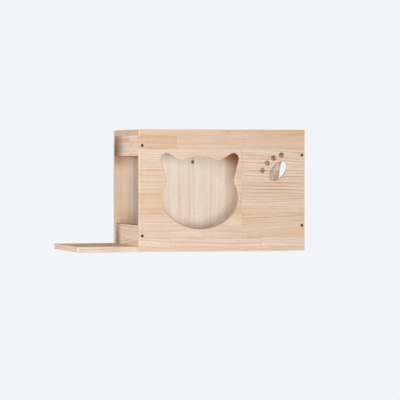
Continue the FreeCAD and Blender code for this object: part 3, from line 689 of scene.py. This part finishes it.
def seen_directly(tree):
    """One for rays from the camera or off a shiny or clear surface, and nought for rays that light
    things."""
    rays = add_node(tree, "ShaderNodeLightPath")
    seen = rays.outputs["Is Camera Ray"]
    for ray in ("Is Glossy Ray", "Is Transmission Ray"):
        seen = add_node(tree, "ShaderNodeMath", {0: seen, 1: rays.outputs[ray]},
                        operation="MAXIMUM").outputs[0]
    return seen


def finish_board(context, spec):
    """Give a board the pine finish that it is laid out for."""
    finish = context.scene.cat_house_pine
    dress(spec.node, pine_board(spec, wood_group(finish), finish))


class CATHOUSE_OT_front_board(bpy.types.Operator):
    """Finish the front board, with the long dark lines of late wood that it shows"""

    bl_idname = "cat_house.front_board"
    bl_label = "Finish front board"

    def execute(self, context):
        spec = board("front_panel", "XZY", FRONT_ROWS, 11.3, end_shade=1.05, patches=FRONT_PATCHES)
        finish_board(context, spec)
        return {"FINISHED"}


class CATHOUSE_OT_back_board(bpy.types.Operator):
    """Finish the back board: paler and calmer pine with upright grain, painted shade in its wall-screw
    holes, and painted shade beside the doorway and behind the entrance
    """

    bl_idname = "cat_house.back_board"
    bl_label = "Finish back board"

    def execute(self, context):
        spec = board("back_panel", "ZXY", BACK_ROWS, 52.1, figure=0.32, growth=1.6, pale="inner",
                     warm="inner_warm", patches=BACK_PAINTED_SHADE, holes=wall_holes())
        finish_board(context, spec)
        return {"FINISHED"}


class CATHOUSE_OT_roof(bpy.types.Operator):
    """Finish the roof board"""

    bl_idname = "cat_house.roof"
    bl_label = "Finish roof"

    def execute(self, context):
        finish_board(context, board("roof_board", "XYZ", ROOF_ROWS, 103.7, end_shade=0.9))
        return {"FINISHED"}


class CATHOUSE_OT_floor(bpy.types.Operator):
    """Finish the floor board and its step"""

    bl_idname = "cat_house.floor"
    bl_label = "Finish floor and step"

    def execute(self, context):
        finish_board(context, board("floor_board", "XYZ", FLOOR_ROWS, 151.9))
        return {"FINISHED"}


class CATHOUSE_OT_end_wall(bpy.types.Operator):
    """Finish the end wall with the round opening"""

    bl_idname = "cat_house.end_wall"
    bl_label = "Finish end wall"

    def execute(self, context):
        spec = board("right_wall", "YZX", WALL_ROWS, 207.4, end_shade=1.0, pale="inner")
        finish_board(context, spec)
        return {"FINISHED"}


class CATHOUSE_OT_rails(bpy.types.Operator):
    """Finish the two rails of the doorway, with painted shade towards the wall"""

    bl_idname = "cat_house.rails"
    bl_label = "Finish rails"

    def execute(self, context):
        top = board("top_rail", "YZX", TOP_RAIL_ROWS, 257.6, figure=0.7, patches=TOP_RAIL_PAINTED_SHADE)
        bottom = board("bottom_rail", "YZX", BOTTOM_RAIL_ROWS, 305.2, patches=BOTTOM_RAIL_PAINTED_SHADE)
        finish_board(context, top)
        finish_board(context, bottom)
        return {"FINISHED"}


class CATHOUSE_OT_screws(bpy.types.Operator):
    """Give the screws their dark coating"""

    bl_idname = "cat_house.screws"
    bl_label = "Finish screws"

    def execute(self, context):
        coating = screw_finish(context.scene.cat_house_fixings)
        for node in SCREW_NODES:
            dress(node, coating)
        return {"FINISHED"}


class CATHOUSE_OT_dowels(bpy.types.Operator):
    """Give the dowels their beech finish"""

    bl_idname = "cat_house.dowels"
    bl_label = "Finish dowels"

    def execute(self, context):
        beech = dowel_finish(context.scene.cat_house_fixings)
        for node in DOWEL_NODES:
            dress(node, beech)
        return {"FINISHED"}


class CATHOUSE_OT_stage(bpy.types.Operator):
    """Set up the camera, the soft light and the pale ground"""

    bl_idname = "cat_house.stage"
    bl_label = "Set the stage"

    def execute(self, context):
        stage = context.scene.cat_house_stage
        context.scene.view_settings.view_transform = "Standard"
        self.aim_camera(context, stage)
        self.hang_lamps(context, stage)
        self.set_backdrop(context, stage)
        self.lay_floor(stage)
        return {"FINISHED"}

    def aim_camera(self, context, stage):
        """Put the camera left of the house, nearly level, far off and with a long lens."""
        data = bpy.data.cameras.new("camera")
        data.lens = stage.lens
        data.sensor_width = 36.0
        data.clip_end = 100.0
        camera = bpy.data.objects.new("camera", data)
        context.collection.objects.link(camera)
        camera.location = CAMERA_EYE
        camera.rotation_euler = (CAMERA_TARGET - CAMERA_EYE).to_track_quat("-Z", "Y").to_euler()
        context.scene.camera = camera

    def hang_lamps(self, context, stage):
        """A small key beside the camera, and broad soft lamps at the other sides."""
        lamps = [
            Lamp("key", (-0.97, -5.05, -0.2), (0.55, 0.55), stage.key),
            Lamp("left", (-3.85, -2.2, 0.28), (1.4, 0.8), stage.left),
            Lamp("right", (3.0, 1.6, 2.2), (1.5, 1.5), stage.right),
            Lamp("top", (0.3, -0.2, 4.0), (2.0, 2.0), stage.top),
            Lamp("back", (0.7, 4.0, -0.52), (2.0, 0.7), stage.back),
        ]
        for item in lamps:
            data = bpy.data.lights.new(item.name, "AREA")
            data.energy = item.power
            data.shape = "RECTANGLE"
            data.size, data.size_y = item.size
            lamp = bpy.data.objects.new(item.name, data)
            context.collection.objects.link(lamp)
            lamp.location = item.place
            lamp.rotation_euler = (LAMP_TARGET - lamp.location).to_track_quat("-Z", "Y").to_euler()

    def set_backdrop(self, context, stage):
        """An even, faint room light, and a pale ground where the camera looks past the house."""
        world = bpy.data.worlds.new("pale_room")
        world.use_nodes = True
        context.scene.world = world
        tree = world.node_tree
        tree.nodes.clear()
        room = add_node(tree, "ShaderNodeBackground", {"Color": stage.room, "Strength": stage.sky})
        ground = add_node(tree, "ShaderNodeBackground", {"Color": stage.backdrop, "Strength": 1.0})
        both = add_node(tree, "ShaderNodeMixShader",
                        {0: seen_directly(tree), 1: room.outputs[0], 2: ground.outputs[0]})
        add_node(tree, "ShaderNodeOutputWorld", {"Surface": both.outputs[0]})

    def lay_floor(self, stage):
        """Paper that takes the shadow near the house, and runs out into the pale ground at its rim."""
        bpy.ops.object.select_all(action="DESELECT")
        low, _ = CAD_BOX
        bpy.ops.mesh.primitive_circle_add(vertices=96, radius=stage.spread, fill_type="NGON",
                                          location=(0, 0, low.z - stage.drop))
        floor = bpy.context.object
        floor.name = "pale_floor"
        material, tree = new_material("matt_paper")
        place = add_node(tree, "ShaderNodeTexCoord")
        away = add_node(tree, "ShaderNodeVectorMath", {0: place.outputs["Object"]}, operation="LENGTH")
        fade = add_node(tree, "ShaderNodeMapRange",
                        {0: away.outputs["Value"], 1: stage.spread * FLOOR_FADE[0],
                         2: stage.spread * FLOOR_FADE[1], 3: FLOOR_GROUND, 4: 1.0})
        seen = add_node(tree, "ShaderNodeMath", {0: seen_directly(tree), 1: fade.outputs[0]},
                        operation="MULTIPLY")
        paper = add_node(tree, "ShaderNodeBsdfDiffuse", {"Color": stage.backdrop})
        ground = add_node(tree, "ShaderNodeEmission", {"Color": stage.backdrop, "Strength": 1.0})
        both = add_node(tree, "ShaderNodeMixShader",
                        {0: seen.outputs[0], 1: paper.outputs[0], 2: ground.outputs[0]})
        add_node(tree, "ShaderNodeOutputMaterial", {"Surface": both.outputs[0]})
        floor.data.materials.append(material)


class CATHOUSE_PT_panel(bpy.types.Panel):
    """Lists the steps that dress the cat house"""

    bl_idname = "CATHOUSE_PT_panel"
    bl_label = "Cat house"
    bl_space_type = "VIEW_3D"
    bl_region_type = "UI"
    bl_category = "Cat house"

    def draw(self, context):
        for step in STEPS:
            self.layout.operator(step.bl_idname)


STEPS = (
    CATHOUSE_OT_front_board,
    CATHOUSE_OT_back_board,
    CATHOUSE_OT_roof,
    CATHOUSE_OT_floor,
    CATHOUSE_OT_end_wall,
    CATHOUSE_OT_rails,
    CATHOUSE_OT_screws,
    CATHOUSE_OT_dowels,
    CATHOUSE_OT_stage,
)
GROUPS = {"cat_house_pine": PineFinish, "cat_house_fixings": FixingFinish, "cat_house_stage": StageSettings}
CLASSES = (*GROUPS.values(), *STEPS, CATHOUSE_PT_panel)


def register():
    """Register the classes and hang their settings on the scene."""
    for item in CLASSES:
        bpy.utils.register_class(item)
    for name, group in GROUPS.items():
        setattr(bpy.types.Scene, name, PointerProperty(type=group))


def unregister():
    """Take back what register did."""
    for name in GROUPS:
        delattr(bpy.types.Scene, name)
    for item in reversed(CLASSES):
        bpy.utils.unregister_class(item)


def main():
    """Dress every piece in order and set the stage."""
    register()
    bpy.ops.cat_house.front_board()
    bpy.ops.cat_house.back_board()
    bpy.ops.cat_house.roof()
    bpy.ops.cat_house.floor()
    bpy.ops.cat_house.end_wall()
    bpy.ops.cat_house.rails()
    bpy.ops.cat_house.screws()
    bpy.ops.cat_house.dowels()
    bpy.ops.cat_house.stage()


if __name__ == "__main__":
    main()
